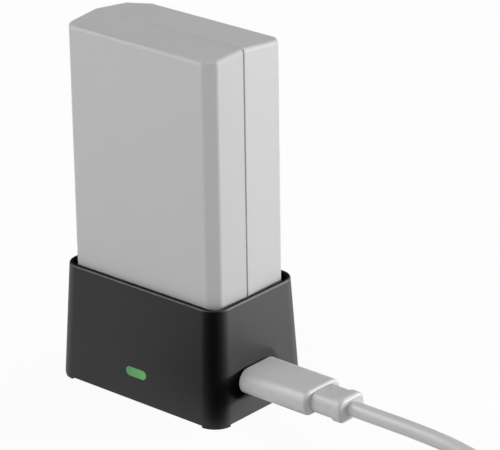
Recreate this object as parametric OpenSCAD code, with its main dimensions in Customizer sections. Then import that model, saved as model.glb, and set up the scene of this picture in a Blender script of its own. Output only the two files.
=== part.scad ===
// Drop-in USB-C charger for a camera flash battery, with the battery seated and its cable plugged in.
// Origin: centre of the charger's base, on the table. +Z up, face with the indicator at -Y, port at +X.

/* [Battery] */
// Width of the battery at its seam
battery_w = 43; // [39:0.5:47]
// Depth of the battery, from its front face to its rear face
battery_d = 24.2; // [21.8:0.2:27]
// Wall of the battery shells
battery_wall = 1.4; // [1.2:0.1:1.5]
// How far the seam lies in front of the battery's middle
seam_shift = 1.8; // [0:0.2:3]
// Inward draft of each side wall, from the seam to the front or rear face
side_draft = 0.45; // [0.2:0.05:0.6]
// How much lower the top is at the front face than at the seam
front_top_drop = 0.8; // [0.4:0.1:1]
// How much lower the top is at the rear face than at the seam
rear_top_drop = 1.6; // [0.8:0.1:1.7]
// Chamfer on three of the four upright edges
edge_chamfer = 2.2; // [1.5:0.1:3]
// Chamfer on the upright rear left edge, which shows the way round
key_chamfer = 4.1; // [2:0.1:4.5]
// Radius of the two top corners
battery_top_r = 1.2; // [0.8:0.1:2.5]
// Depth of the groove along the seam
seam_groove = 0.25; // [0.15:0.05:0.4]
// Thickness of the cradle ribs inside the shells
cradle_t = 1.2; // [0.8:0.1:2]
// Gap between a cell and its cradle
cradle_gap = 0.2; // [0.1:0.05:0.4]

/* [Cells] */
// Length of a cell, which sets the battery's height
cell_l = 65.2; // [58:0.2:74]
// Room between a cell and the side wall, which sets the cell's diameter
side_room = 1.6; // [1.2:0.1:3]
// Room between the cells and the top
head_room = 1.7; // [1.7:0.1:4]
// Gap between the two cells
cell_gap = 0.2; // [0.1:0.1:1]
// Thickness of the nickel strips
strip_t = 0.2; // [0.1:0.05:0.25]
// Width of the nickel strips
strip_w = 8; // [5:0.5:10]

/* [Housing] */
// Height of the housing's rim above the table
housing_h = 27.3; // [24:0.1:36]
// Gap between the battery and the pocket's walls
seat_gap = 0.35; // [0.2:0.05:0.6]
// Width of the rim on the two narrow ends
side_rim = 1; // [0.8:0.1:2]
// Width of the rim on the front and the rear
face_rim = 1.3; // [0.8:0.1:2.5]
// How far the foot stands out past the rim on each narrow end
side_flare = 1.25; // [0.8:0.05:2.5]
// How far the foot stands out past the rim on the front and the rear
face_flare = 1.6; // [1:0.05:3]
// Radius of the housing's upright corners at the foot
corner_r = 4.6; // [3.5:0.1:6]
// Radius of the pocket's upright corners
pocket_corner_r = 2.4; // [1.5:0.1:3]
// Height of the pocket's floor above the table
pocket_floor_z = 12.4; // [12.2:0.1:14]
// Thickness of the pocket's floor
pocket_floor_t = 1.2; // [0.9:0.1:1.3]
// Wall of the skirt below the pocket's floor
skirt_wall = 1.8; // [1.4:0.1:2.2]
// Height of the four corner feet
foot_h = 0.45; // [0.3:0.05:0.6]
// Length of a corner foot along each side
foot_l = 4.3; // [3:0.1:8]
// Rounding of the rim's outer edge
rim_edge = 0.4; // [0.2:0.05:0.5]

/* [Base cover] */
// Thickness of the base cover
cover_t = 1.6; // [1.4:0.1:2]
// How far the cover lies above the skirt's lower edge
cover_recess = 0.3; // [0.1:0.1:0.5]
// Gap between the cover and the skirt
cover_gap = 0.15; // [0.1:0.05:0.3]
// Diameter of the screw bosses
boss_d = 5; // [4.4:0.1:5.4]
// Diameter of the screw shanks
screw_d = 2; // [1.6:0.1:2.2]
// Diameter of the screw heads
screw_head_d = 3.6; // [3:0.1:3.8]
// Height of the screw heads
screw_head_h = 0.8; // [0.6:0.05:0.9]
// Length of the screw shanks
screw_l = 6; // [5:0.5:7]
// Gap between a screw and its hole, on the radius
screw_gap = 0.1; // [0.05:0.05:0.2]
// Diameter of the posts under the board
post_d = 3; // [2:0.5:4]

/* [Main board] */
// Thickness of the main board
board_t = 1.2; // [0.8:0.1:1.6]
// Gap between the board and the skirt or the bosses
board_gap = 0.3; // [0.2:0.05:0.5]

/* [Port] */
// Height of the port's centre above the table
port_z = 9.3; // [9:0.1:9.5]
// Depth position of the port, negative to the front
port_y = -1.8; // [-3:0.1:3]
// Width of the port's opening
port_w = 8.34; // [8.34:0.01:8.4]
// Height of the port's opening
port_h = 2.56; // [2.56:0.01:2.6]
// Corner radius of the port's opening
port_r = 1.25; // [1:0.05:1.25]
// Sheet thickness of the port's shell
port_sheet = 0.3; // [0.2:0.05:0.3]
// Length of the port's shell
port_l = 7.35; // [7.2:0.05:8]
// How far the port's mouth lies behind the housing's face
port_inset = 0.4; // [0.2:0.1:0.8]
// Gap between the port's shell and its hole in the housing
port_gap = 0.2; // [0.1:0.05:0.3]

/* [Indicator] */
// Width of the indicator window
lamp_w = 5.9; // [4:0.1:8]
// Height of the indicator window
lamp_h = 2.1; // [1.6:0.1:2.6]
// Height of the window's centre above the table
lamp_z = 7.2; // [6.8:0.1:8]
// Gap between the window and its hole
lamp_gap = 0.1; // [0.05:0.05:0.2]
// Thickness of the flange behind the window
lamp_flange_t = 0.9; // [0.6:0.1:1.2]

/* [Contacts] */
// Distance from one spring contact to the next
contact_pitch = 4.6; // [3.6:0.1:5]
// Width of a spring contact
contact_w = 1.6; // [1:0.1:2]
// Thickness of a spring contact's strip
contact_t = 0.3; // [0.2:0.05:0.4]
// Outer radius of a spring contact's arch
contact_r = 1; // [0.8:0.05:1.2]
// Distance of the contacts from the battery's front face
contact_inset = 6.7; // [6.1:0.1:6.9]
// Gap beside a contact in its slot
contact_gap = 0.3; // [0.2:0.05:0.4]
// Gap between a spring contact and the battery terminal above it
touch_gap = 0.1; // [0.05:0.05:0.2]

/* [USB-C plug] */
// Width of the plug's grip
plug_w = 12.4; // [11:0.1:12.6]
// Height of the plug's grip
plug_h = 5.8; // [5:0.1:6.4]
// Length of the plug's grip
plug_l = 18.4; // [16:0.2:22]
// Corner radius of the grip's section
plug_r = 2.75; // [2:0.05:2.9]
// Rounding of the grip's front edge
plug_front_edge = 0.3; // [0.2:0.1:0.8]
// Rounding of the grip's rear edge
plug_rear_edge = 0.7; // [0.3:0.1:1.2]
// Gap between the grip and the housing
plug_gap = 0.2; // [0.1:0.05:0.4]
// Width of the plug's metal shell
plug_shell_w = 8.25; // [8.2:0.01:8.3]
// Height of the plug's metal shell
plug_shell_h = 2.4; // [2.36:0.01:2.44]
// Length of the plug's metal shell
plug_shell_l = 6.65; // [6.5:0.05:6.7]
// Sheet thickness of the plug's metal shell
plug_sheet = 0.25; // [0.2:0.05:0.3]

/* [Strain relief] */
// Width of the strain relief's neck
neck_w = 8; // [7:0.1:9]
// Height of the strain relief's neck
neck_h = 4.9; // [4.4:0.1:5.2]
// Length of the strain relief's neck
neck_l = 5.6; // [5:0.1:8]
// How far the end collar stands out past the neck
collar_rise = 0.35; // [0.2:0.05:0.5]
// Length of the end collar
collar_l = 2.6; // [2:0.1:4]
// Width of the slots across the neck
slot_w = 0.9; // [0.6:0.1:1.2]
// Depth of the slots across the neck
slot_deep = 0.8; // [0.4:0.1:1]

/* [Cable] */
// Diameter of the cable
cable_d = 3.5; // [3.2:0.1:3.6]
// Radius of the coil at the middle of its turns
coil_r = 18; // [17:0.5:20]
// Thickness of the cable tie
tie_t = 0.6; // [0.4:0.1:1]
// Width of the cable tie
tie_w = 8; // [5:0.5:12]

/* [USB-A plug] */
// Width of the grip
a_grip_w = 15.6; // [14:0.2:16]
// Height of the grip
a_grip_h = 8; // [7:0.2:8]
// Length of the grip
a_grip_l = 23; // [20:0.5:26]
// Width of the metal shell
a_shell_w = 12; // [11.9:0.05:12.1]
// Height of the metal shell
a_shell_h = 4.5; // [4.4:0.05:4.6]
// Length of the metal shell
a_shell_l = 12; // [11.5:0.1:12.5]
// Sheet thickness of the metal shell
a_sheet = 0.3; // [0.25:0.05:0.35]
// Length of the strain relief
a_relief_l = 8; // [6:0.5:12]

/* [Hidden] */

// Overlap that makes a cut pass clear through a face
cut = 1;
// Play between two faces that slide together
slip = 0.05;
round_fn = 64;
corner_steps = 6;

// Housing: rim and foot follow the battery
rim_w = battery_w + 2 * (seat_gap + side_rim);
rim_d = battery_d + 2 * (seat_gap + face_rim);
base_w = rim_w + 2 * side_flare;
base_d = rim_d + 2 * face_flare;
pocket_w = battery_w + 2 * seat_gap;
pocket_d = battery_d + 2 * seat_gap;
ceiling_z = pocket_floor_z - pocket_floor_t;
cavity_w = 2 * side_x(ceiling_z) - 2 * skirt_wall;
cavity_d = 2 * front_y(ceiling_z) - 2 * skirt_wall;
cavity_r = corner_r - skirt_wall;

// Base cover, its screws and the board's posts
cover_z = foot_h + cover_recess;
cover_top = cover_z + cover_t;
boss_bite = 0.3;
boss_x = cavity_w / 2 - boss_d / 2 + boss_bite;
boss_y = cavity_d / 2 - boss_d / 2 + boss_bite;
boss_places = [[-1, -1], [1, -1], [-1, 1], [1, 1]];
screw_head_z = cover_z + slip;
screw_tip_gap = 0.5;
post_x = cavity_w / 4;
post_y = cavity_d / 3;

// Main board and what stands on it
board_top = port_z - port_h / 2 - port_sheet;
board_w = cavity_w - 2 * board_gap;
board_d = cavity_d - 2 * board_gap;
port_mouth_x = side_x(port_z) - port_inset;
port_back_x = port_mouth_x - port_l;
port_play = port_sheet + port_gap;
tongue_base_l = 1;
tongue_w = 6.6;
tongue_t = 0.7;
tongue_l = 5;
tongue_gap = 0.15;

// Parts on the board: one row behind the port, one near the far end
far_row_x = 6.7 - board_w / 2;
choke_x = far_row_x + 5.3;
near_row_x = port_back_x - 4.4;
switch_x = near_row_x - 6;
controller_x = switch_x - 6.5;
parts_y = board_d / 4;
resistor_y = -board_d / 7;
controller = [4, 4, 0.9];
switch = [3.3, 3.3, 1];
capacitor = [3.2, 2.5, 2];
resistor = [3.2, 1.6, 0.6];
choke_w = 5.8;
choke_core_d = 4.6;
choke_cap_t = 0.8;
choke_h = 2.8;

// Indicator: window in the front wall, flange and lamp behind it
lamp_r = lamp_h / 2 - 0.01;
flange_w = lamp_w + 1.7;
flange_h = 3.2;
flange_z = lamp_z + 0.4;
flange_back_y = -cavity_d / 2 + lamp_flange_t;
led = [3.2, 1.3, 1.1];

// Spring contacts
contact_count = 4;
contact_y = contact_inset - battery_d / 2;
contact_free_leg = 3;
carrier_wall = 1.2;
slot_side_gap = 0.1;
slot_x = contact_w + 2 * slot_side_gap;
slot_y = 2 * contact_r + contact_gap;
carrier_w = (contact_count - 1) * contact_pitch + slot_x + 2 * carrier_wall;
carrier_d = slot_y + 2 * carrier_wall;

// Battery: its stack from the pocket's floor up, and the cells that fill its width
battery_z = pocket_floor_z;
contact_tip_z = battery_z + battery_wall - touch_gap;
seam_y = -seam_shift;
cell_d = (battery_w - cell_gap) / 2 - battery_wall - side_room;
cell_x = (cell_d + cell_gap) / 2;
cell_edge = 0.4;
cell_crimp = 0.5;
cell_crimp_z = cell_l - 2.5;
cell_cap_h = 0.8;
terminal_margin = 0.7;
terminal = [slot_x + 2 * terminal_margin, slot_y + 2 * terminal_margin, 0.3];
terminal_z = battery_z + battery_wall;
guard_t = 1;
guard_r = 3;
guard_side_gap = 1.7;
guard_face_gap = 1.5;
guard_z = terminal_z + terminal[2];
guard_chip = [3, 2.4, 0.8];
guard_chip_y = battery_d / 2 - 4.9;
strip_z = guard_z + guard_t;
strip_r = 1;
cell_z = strip_z + strip_t;
bridge_z = cell_z + cell_l;
bridge_w = 2 * cell_x + strip_w;
battery_h = bridge_z + strip_t + head_room + battery_wall - battery_z;

// Charging plug, seated in the port
grip_x = side_x(port_z - plug_h / 2) + plug_gap;
plug_shell_r = 1.15;
relief_x = grip_x + plug_l;
neck_r = 1.9;
first_slot_x = 1.7;
second_slot_x = 3.8;
collar_front_edge = 0.3;
collar_rear_edge = 0.8;
collar_x = relief_x + neck_l;
cable_x = collar_x + collar_l;

// Cable: two layers of four turns, lifted off the table by the tie
coil_turns_wide = 4;
coil_layers = 2;
coil_centre = [114, 9.6];
coil_w = coil_turns_wide * cable_d;
coil_z = tie_t;
coil_top = coil_z + coil_layers * cable_d;
tie_angle = -75;
tie_sweep = 180 * tie_w / (PI * coil_r);
tube_sides = 8;

// Route from the strain relief to the coil, and the straight lead into the coil's outer turn
cord_start = [cable_x, port_y, port_z];
cord_route = [
  [57, -1.8, 9.3], [63, -1.8, 9.3], [69, -1.8, 9.2], [75, -1.9, 9],
  [80, -2, 8.5], [85, -2.2, 7.6], [89.4, -3, 6.2]
];
coil_lead = [102.4, -10.5, 2.8];

// Route from the coil's top layer, round a small loop, into the far plug
tail_route = [
  [124, 26.6, 9.4], [118.5, 29, 9.4], [112.5, 29.6, 9.4], [106.6, 28.2, 9.5], [102, 24.4, 9.8],
  [100, 19, 10.3], [101, 13.4, 10.9], [105, 9.2, 11.4], [109, 7.7, 11.6]
];
far_plug = [112, 7.6, coil_top + a_grip_h / 2];
a_grip_x = far_plug[0] + a_relief_l;
a_shell_x = a_grip_x + a_grip_l;
a_grip_r = 2.4;
a_grip_front_edge = 0.8;
a_grip_rear_edge = 0.4;
a_window = [2.4, 2.3];
a_window_x = 6.6;
a_insert_h = 1.9;
a_insert_recess = 0.4;
a_relief_lip = 0.5;

// Half width and half depth of the tapered housing at a height
function side_x(z) = base_w / 2 - side_flare * z / housing_h;
function front_y(z) = base_d / 2 - face_flare * z / housing_h;

// Points of a quarter circle about a centre, from one angle to the next
function quarter(x, y, r, from) = [
  for (i = [0 : corner_steps])
    let (a = from + 90 * i / corner_steps)
    [x + r * cos(a), y + r * sin(a)]
];
function rounded_points(w, d, r) = concat(
  quarter(w / 2 - r, d / 2 - r, r, 0), quarter(r - w / 2, d / 2 - r, r, 90),
  quarter(r - w / 2, r - d / 2, r, 180), quarter(w / 2 - r, r - d / 2, r, 270));

// Rounded rectangle with true arcs
module rounded(w, d, r) {
  square([w - 2 * r, d], center = true);
  square([w, d - 2 * r], center = true);
  for (x = [-1, 1], y = [-1, 1])
    translate([x * (w / 2 - r), y * (d / 2 - r)])
      circle(r, $fn = round_fn);
}

// Rounded bar along +X, centred on the axis, width along Y and height along Z
module bar(w, h, r, l) {
  rotate([90, 0, 90])
    linear_extrude(l)
      rounded(w, h, r);
}

// Tapered outer form of the housing, from the table to the rim
module tapered_block() {
  body_h = housing_h - rim_edge;
  linear_extrude(body_h, scale = [side_x(body_h) / side_x(0), front_y(body_h) / front_y(0)])
    polygon(rounded_points(base_w, base_d, corner_r));
  translate([0, 0, body_h])
    linear_extrude(rim_edge, scale = [1 - rim_edge / side_x(body_h), 1 - rim_edge / front_y(body_h)])
      scale([side_x(body_h) / side_x(0), front_y(body_h) / front_y(0)])
        polygon(rounded_points(base_w, base_d, corner_r));
}

module at_bosses() {
  for (p = boss_places)
    translate([p[0] * boss_x, p[1] * boss_y, 0])
      children();
}

module at_contacts() {
  for (i = [0 : contact_count - 1])
    translate([(i - (contact_count - 1) / 2) * contact_pitch, contact_y, 0])
      children();
}

// Slot round a spring contact: the fixed leg lies on its front wall
module contact_slot(z0, z1) {
  translate([-slot_x / 2, -contact_r, z0])
    cube([slot_x, slot_y, z1 - z0]);
}

module housing() {
  color("#2b2b2b")
  difference() {
    tapered_block();
    translate([0, 0, pocket_floor_z])
      linear_extrude(housing_h)
        rounded(pocket_w, pocket_d, pocket_corner_r);
    difference() {
      translate([0, 0, -cut])
        linear_extrude(ceiling_z + cut)
          rounded(cavity_w, cavity_d, cavity_r);
      at_bosses()
        translate([0, 0, cover_top])
          cylinder(d = boss_d, h = ceiling_z, $fn = round_fn);
    }
    at_bosses()
      translate([0, 0, cover_top - cut])
        cylinder(r = screw_d / 2 + screw_gap, h = screw_l + cut, $fn = round_fn);
    for (size = [[base_w - 2 * foot_l, base_d + cut], [base_w + cut, base_d - 2 * foot_l]])
      translate([-size[0] / 2, -size[1] / 2, -cut])
        cube([size[0], size[1], foot_h + cut]);
    translate([port_back_x, port_y, port_z])
      bar(port_w + 2 * port_play, port_h + 2 * port_play, port_r + port_gap, base_w / 2);
    translate([0, -cavity_d / 2 + cut, lamp_z])
      rotate([90, 0, 0])
        linear_extrude(base_d)
          rounded(lamp_w + 2 * lamp_gap, lamp_h + 2 * lamp_gap, lamp_r + lamp_gap);
    at_contacts()
      contact_slot(ceiling_z - cut, pocket_floor_z + cut);
  }
}

module base_cover() {
  color("#262626")
  difference() {
    union() {
      translate([0, 0, cover_z])
        linear_extrude(cover_t)
          rounded(cavity_w - 2 * cover_gap, cavity_d - 2 * cover_gap, cavity_r - cover_gap);
      for (x = [-1, 1], y = [-1, 1])
        translate([x * post_x, y * post_y, cover_top - cut])
          cylinder(d = post_d, h = board_top - board_t - cover_top + cut, $fn = round_fn);
    }
    at_bosses() {
      translate([0, 0, cover_z - cut])
        cylinder(r = screw_head_d / 2 + screw_gap, h = cut + screw_head_h + slip, $fn = round_fn);
      translate([0, 0, cover_z - cut])
        cylinder(r = screw_d / 2 + screw_gap, h = cover_t + 2 * cut, $fn = round_fn);
    }
  }
}

// Pan-head screw with a cross recess, driven up into its boss
module cover_screw(i) {
  recess_w = 0.5;
  recess_l = 2;
  color("#9a9a9a")
  translate([boss_places[i][0] * boss_x, boss_places[i][1] * boss_y, screw_head_z])
    difference() {
      union() {
        cylinder(d = screw_head_d, h = screw_head_h, $fn = round_fn);
        cylinder(d = screw_d, h = cover_t + screw_l - screw_tip_gap, $fn = round_fn);
      }
      for (turn = [0, 90])
        rotate(turn)
          translate([-recess_l / 2, -recess_w / 2, -cut])
            cube([recess_l, recess_w, cut + screw_head_h / 2]);
    }
}

module main_board() {
  color("#1f5a3a")
  translate([0, 0, board_top - board_t])
    linear_extrude(board_t)
      difference() {
        rounded(board_w, board_d, cavity_r);
        for (p = boss_places)
          translate([p[0] * boss_x, p[1] * boss_y])
            circle(boss_d / 2 + board_gap, $fn = round_fn);
        translate([-flange_w / 2 - board_gap, -board_d])
          square([flange_w + 2 * board_gap, board_d + flange_back_y + board_gap]);
      }
}

module port_shell() {
  color("#b8b8b8")
  translate([port_back_x, port_y, port_z])
    difference() {
      bar(port_w + 2 * port_sheet, port_h + 2 * port_sheet, port_r + port_sheet, port_l);
      translate([port_sheet, 0, 0])
        bar(port_w, port_h, port_r, port_l);
    }
}

module port_tongue() {
  color("#202020")
  translate([port_back_x + port_sheet, port_y, port_z]) {
    bar(port_w - 2 * slip, port_h - 2 * slip, port_r - slip, tongue_base_l);
    translate([0, -tongue_w / 2, -tongue_t / 2])
      cube([tongue_base_l + tongue_l - port_inset, tongue_w, tongue_t]);
  }
}

module contact_carrier() {
  carrier_h = ceiling_z - board_top;
  color("#e8e4d8")
  difference() {
    translate([-carrier_w / 2, contact_y - contact_r - carrier_wall, board_top])
      cube([carrier_w, carrier_d, carrier_h]);
    at_contacts()
      contact_slot(board_top - cut, ceiling_z + cut);
  }
}

// Bent strip: a fixed leg down to the board, an arch through the pocket's floor, a short free leg
module spring_contact(i) {
  arch_z = contact_tip_z - contact_r;
  color("#d8b04c")
  translate([(i - (contact_count - 1) / 2) * contact_pitch - contact_w / 2, contact_y, 0])
    rotate([90, 0, 90])
      linear_extrude(contact_w) {
        translate([-contact_r, board_top])
          square([contact_t, arch_z - board_top]);
        translate([contact_r - contact_t, arch_z - contact_free_leg])
          square([contact_t, contact_free_leg]);
        intersection() {
          translate([0, arch_z])
            difference() {
              circle(contact_r, $fn = round_fn);
              circle(contact_r - contact_t, $fn = round_fn);
            }
          translate([-2 * contact_r, arch_z])
            square([4 * contact_r, 2 * contact_r]);
        }
      }
}

// Pill window cut off flush with the sloping front face, and the flange that holds it behind the wall
module light_pipe() {
  color("#56b070") {
    intersection() {
      translate([0, -cavity_d / 2, lamp_z])
        rotate([90, 0, 0])
          linear_extrude(base_d)
            rounded(lamp_w, lamp_h, lamp_r);
      tapered_block();
    }
    translate([-flange_w / 2, -cavity_d / 2, flange_z - flange_h / 2])
      cube([flange_w, lamp_flange_t, flange_h]);
  }
}

module on_board(x, y, size, tint) {
  color(tint)
  translate([x - size[0] / 2, y - size[1] / 2, board_top])
    cube(size);
}

module status_led() {
  on_board(0, flange_back_y + board_gap + led[1] / 2, led, "#f2efe0");
}

module charge_controller() {
  on_board(controller_x, resistor_y + controller[1], controller, "#1a1a1a");
}

// Square choke: a wound core between two rounded plates
module power_inductor() {
  color("#4a4a4a")
  translate([choke_x, parts_y, board_top]) {
    for (z = [0, choke_h - choke_cap_t])
      translate([0, 0, z])
        linear_extrude(choke_cap_t)
          rounded(choke_w, choke_w, 1);
    cylinder(d = choke_core_d, h = choke_h, $fn = round_fn);
  }
}

module power_switch() {
  on_board(switch_x, parts_y, switch, "#1a1a1a");
}

module input_capacitor() {
  on_board(near_row_x, parts_y, capacitor, "#b89868");
}

module output_capacitor() {
  on_board(far_row_x, parts_y, [capacitor[1], capacitor[0], capacitor[2]], "#b89868");
}

module sense_resistor() {
  on_board(far_row_x, resistor_y, resistor, "#222222");
}

// Outline of a battery slice across its depth: each side drawn in and the top lowered as stated
function slice_points(inset_left, inset_right, drop, lift) =
  let (
    left = battery_w / 2 - inset_left,
    right = battery_w / 2 - inset_right,
    top = battery_h - drop,
    r = battery_top_r
  )
  concat(
    [[-left, lift], [right, lift]],
    quarter(right - r, top - r, r, 0), quarter(r - left, top - r, r, 90));

// One half of the battery, from the seam at y = 0 to its face, hulled through its left and right
// chamfers. A wall above zero draws the form in for the inside.
module battery_half(depth, chamfers, drop, wall) {
  skin = 0.01;
  groove = wall == 0 ? seam_groove : wall;
  knees = [for (chamfer = chamfers) depth - chamfer - wall * 0.4];
  function side(y, knee) = y <= skin ? groove : side_draft * y / depth + wall + max(0, y - knee);
  function fall(y) = y <= skin ? groove : drop * y / depth + wall;
  hull()
    for (y = [skin, seam_groove, min(knees), max(knees), depth - wall])
      translate([0, y, 0])
        rotate([90, 0, 0])
          linear_extrude(skin)
            polygon(slice_points(side(y, knees[0]), side(y, knees[1]), fall(y), wall));
}

// A battery shell in its own half space: seam at y = 0, face at y = depth, lying at the seat's height
module battery_shell(depth, chamfers, drop, cells_y) {
  rib_reach = 0.3;
  difference() {
    battery_half(depth, chamfers, drop, 0);
    difference() {
      translate([0, -slip, 0])
        battery_half(depth, chamfers, drop, battery_wall);
      difference() {
        for (share = [0.25, 0.75])
          translate([-battery_w, rib_reach, cell_z - battery_z + share * cell_l - cradle_t / 2])
            cube([2 * battery_w, depth, cradle_t]);
        for (x = [-cell_x, cell_x])
          translate([x, cells_y, 0])
            cylinder(d = cell_d + 2 * cradle_gap, h = battery_h, $fn = round_fn);
        translate([-battery_w, -battery_d, -cut])
          cube([2 * battery_w, battery_d + max(cells_y, rib_reach), battery_h]);
      }
    }
  }
}

module battery_front_shell() {
  color("#b2b2b2")
  difference() {
    translate([0, seam_y, battery_z])
      mirror([0, 1, 0])
        battery_shell(battery_d / 2 + seam_y, [edge_chamfer, edge_chamfer], front_top_drop, seam_y);
    at_contacts()
      contact_slot(battery_z - cut, battery_z + battery_wall + slip);
  }
}

module battery_rear_shell() {
  color("#b8b8b8")
  translate([0, seam_y, battery_z])
    battery_shell(battery_d / 2 - seam_y, [key_chamfer, edge_chamfer], rear_top_drop, -seam_y);
}

// Cell with its crimped shoulder; up places the plus end on top
module cell(x, up) {
  r = cell_d / 2;
  cap_z = cell_l - cell_cap_h;
  color("#3f78b8")
  translate([x, 0, cell_z + (up ? 0 : cell_l)])
    mirror([0, 0, up ? 0 : 1])
      rotate_extrude($fn = round_fn)
        polygon([
          [0, 0], [r - cell_edge, 0], [r, cell_edge], [r, cell_crimp_z - cell_crimp],
          [r - cell_crimp, cell_crimp_z], [r, cell_crimp_z + cell_crimp], [r, cap_z - cell_edge],
          [r - 2 * cell_edge, cap_z], [r / 2, cap_z], [r / 2, cell_l], [0, cell_l]
        ]);
}

module cell_left() {
  cell(-cell_x, true);
}

module cell_right() {
  cell(cell_x, false);
}

module strip(x, z, w) {
  color("#c9c9c4")
  translate([x, 0, z])
    linear_extrude(strip_t)
      rounded(w, strip_w, strip_r);
}

module bridge_strip() {
  strip(0, bridge_z, bridge_w);
}

module positive_strip() {
  strip(cell_x, strip_z, strip_w);
}

module negative_strip() {
  strip(-cell_x, strip_z, strip_w);
}

module protection_board() {
  color("#1f5a3a")
  translate([0, 0, guard_z])
    linear_extrude(guard_t)
      rounded(
        battery_w - 2 * (battery_wall + guard_side_gap),
        battery_d - 2 * (battery_wall + guard_face_gap),
        guard_r);
}

module protection_chip() {
  color("#1a1a1a")
  translate([-guard_chip[0] / 2, guard_chip_y - guard_chip[1] / 2, strip_z])
    cube(guard_chip);
}

module battery_terminal(i) {
  color("#d8b04c")
  translate([
    (i - (contact_count - 1) / 2) * contact_pitch - terminal[0] / 2,
    contact_y - contact_r + slot_y / 2 - terminal[1] / 2,
    terminal_z
  ])
    cube(terminal);
}

module usb_c_plug_shell() {
  color("#c8c8c8")
  translate([grip_x - plug_shell_l, port_y, port_z])
    difference() {
      bar(plug_shell_w, plug_shell_h, plug_shell_r, plug_shell_l);
      translate([-cut, 0, 0])
        bar(
          plug_shell_w - 2 * plug_sheet, plug_shell_h - 2 * plug_sheet,
          plug_shell_r - plug_sheet, plug_shell_l + 2 * cut);
    }
}

// Insulator inside the plug's shell, slotted for the port's tongue
module usb_c_plug_insert() {
  inset = plug_sheet + slip;
  color("#303030")
  translate([grip_x - plug_shell_l, port_y, port_z])
    difference() {
      bar(plug_shell_w - 2 * inset, plug_shell_h - 2 * inset, plug_shell_r - inset, plug_shell_l);
      translate([-cut, -tongue_w / 2 - tongue_gap, -tongue_t / 2 - tongue_gap])
        cube([cut + tongue_l + plug_gap, tongue_w + 2 * tongue_gap, tongue_t + 2 * tongue_gap]);
    }
}

// Rounded bar whose ends are drawn in by their edge rounding, start at x = 0
module soft_bar(w, h, r, l, front, rear) {
  skin = 0.1;
  hull()
    for (s = [[0, skin, front], [front, l - front - rear, 0], [l - skin, skin, rear]])
      translate([s[0], 0, 0])
        rotate([90, 0, 90])
          linear_extrude(s[1])
            polygon(rounded_points(w - 2 * s[2], h - 2 * s[2], r - s[2]));
}

module usb_c_plug_grip() {
  color("#b0b0b0")
  translate([grip_x, port_y, port_z])
    soft_bar(plug_w, plug_h, plug_r, plug_l, plug_front_edge, plug_rear_edge);
}

// Box cut into the middle of the neck's face at a depth, across the bar
module neck_slot(x, w, h) {
  for (side = [-1, 1])
    translate([x - slot_w / 2, -w / 4, side > 0 ? h / 2 - slot_deep : -h / 2 - cut])
      cube([slot_w, w / 2, slot_deep + cut]);
}

// Neck with slots across its broad faces, then its narrow ones, and a collar where the cable comes out
module usb_c_strain_relief() {
  color("#b4b4b4")
  translate([relief_x, port_y, port_z]) {
    difference() {
      bar(neck_w, neck_h, neck_r, neck_l);
      neck_slot(first_slot_x, neck_w, neck_h);
      rotate([90, 0, 0])
        neck_slot(second_slot_x, neck_h, neck_w);
    }
    translate([neck_l, 0, 0])
      soft_bar(
        neck_w + 2 * collar_rise, neck_h + 2 * collar_rise, neck_r + collar_rise,
        collar_l, collar_front_edge, collar_rear_edge);
  }
}

// Tube through hand-placed points, one ring of sides at each; its end ring faces the way on
function unit(v) = v / norm(v);
function ways(points, way_on) = [for (i = [0 : len(points) - 1])
  i == 0 ? unit(points[1] - points[0]) :
  i == len(points) - 1 ? unit(way_on) :
  unit(unit(points[i + 1] - points[i]) + unit(points[i] - points[i - 1]))];
function ring(p, way, r) =
  let (side = unit(cross(way, [0, 0, 1])), up = cross(side, way))
  [for (k = [0 : tube_sides - 1])
    let (a = 360 * (k + 0.5) / tube_sides)
    p + r * (cos(a) * side + sin(a) * up)];

module tube(points, way_on, r) {
  directions = ways(points, way_on);
  last = (len(points) - 1) * tube_sides;
  function next(k) = (k + 1) % tube_sides;
  vertices = [for (i = [0 : len(points) - 1]) each ring(points[i], directions[i], r)];
  sides = [for (i = [0 : len(points) - 2], k = [0 : tube_sides - 1])
    let (a = i * tube_sides, b = a + tube_sides)
    each [[a + k, a + next(k), b + next(k)], [a + k, b + next(k), b + k]]];
  caps = [
    [for (k = [tube_sides - 1 : -1 : 0]) k],
    [for (k = [0 : tube_sides - 1]) last + k]
  ];
  polyhedron(vertices, concat(sides, caps));
}

module cord() {
  end = cord_route[len(cord_route) - 1];
  color("#b4b4b4")
  tube(concat([cord_start], cord_route), coil_lead - end, cable_d / 2);
}

// Outer shape of the wound turns, with the straight lead that meets the tube
module cord_coil() {
  from = cord_route[len(cord_route) - 1];
  way = coil_lead - from;
  color("#b4b4b4") {
    translate([coil_centre[0], coil_centre[1], coil_z])
      rotate_extrude($fn = 96)
        translate([coil_r, (coil_top - coil_z) / 2])
          rounded(coil_w, coil_top - coil_z, cable_d / 2);
    translate(from)
      rotate([0, acos(way[2] / norm(way)), atan2(way[1], way[0])])
        cylinder(d = cable_d, h = norm(way), $fn = round_fn);
  }
}

module cord_tail() {
  color("#b4b4b4")
  tube(concat(tail_route, [far_plug]), [1, 0, 0], cable_d / 2);
}

module cord_tie() {
  section_h = coil_top - coil_z;
  color("#303030")
  translate([coil_centre[0], coil_centre[1], coil_z])
    rotate(tie_angle - tie_sweep / 2)
      rotate_extrude(angle = tie_sweep, $fn = 96)
        translate([coil_r, section_h / 2])
          difference() {
            rounded(coil_w + 2 * tie_t, section_h + 2 * tie_t, cable_d / 2 + tie_t);
            rounded(coil_w, section_h, cable_d / 2);
          }
}

module usb_a_strain_relief() {
  thin = cable_d / 2 + a_relief_lip;
  thick = a_grip_h / 2 - a_grip_front_edge;
  color("#b4b4b4")
  translate(far_plug)
    rotate([0, 90, 0])
      cylinder(r1 = thin, r2 = thick, h = a_relief_l, $fn = round_fn);
}

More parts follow.
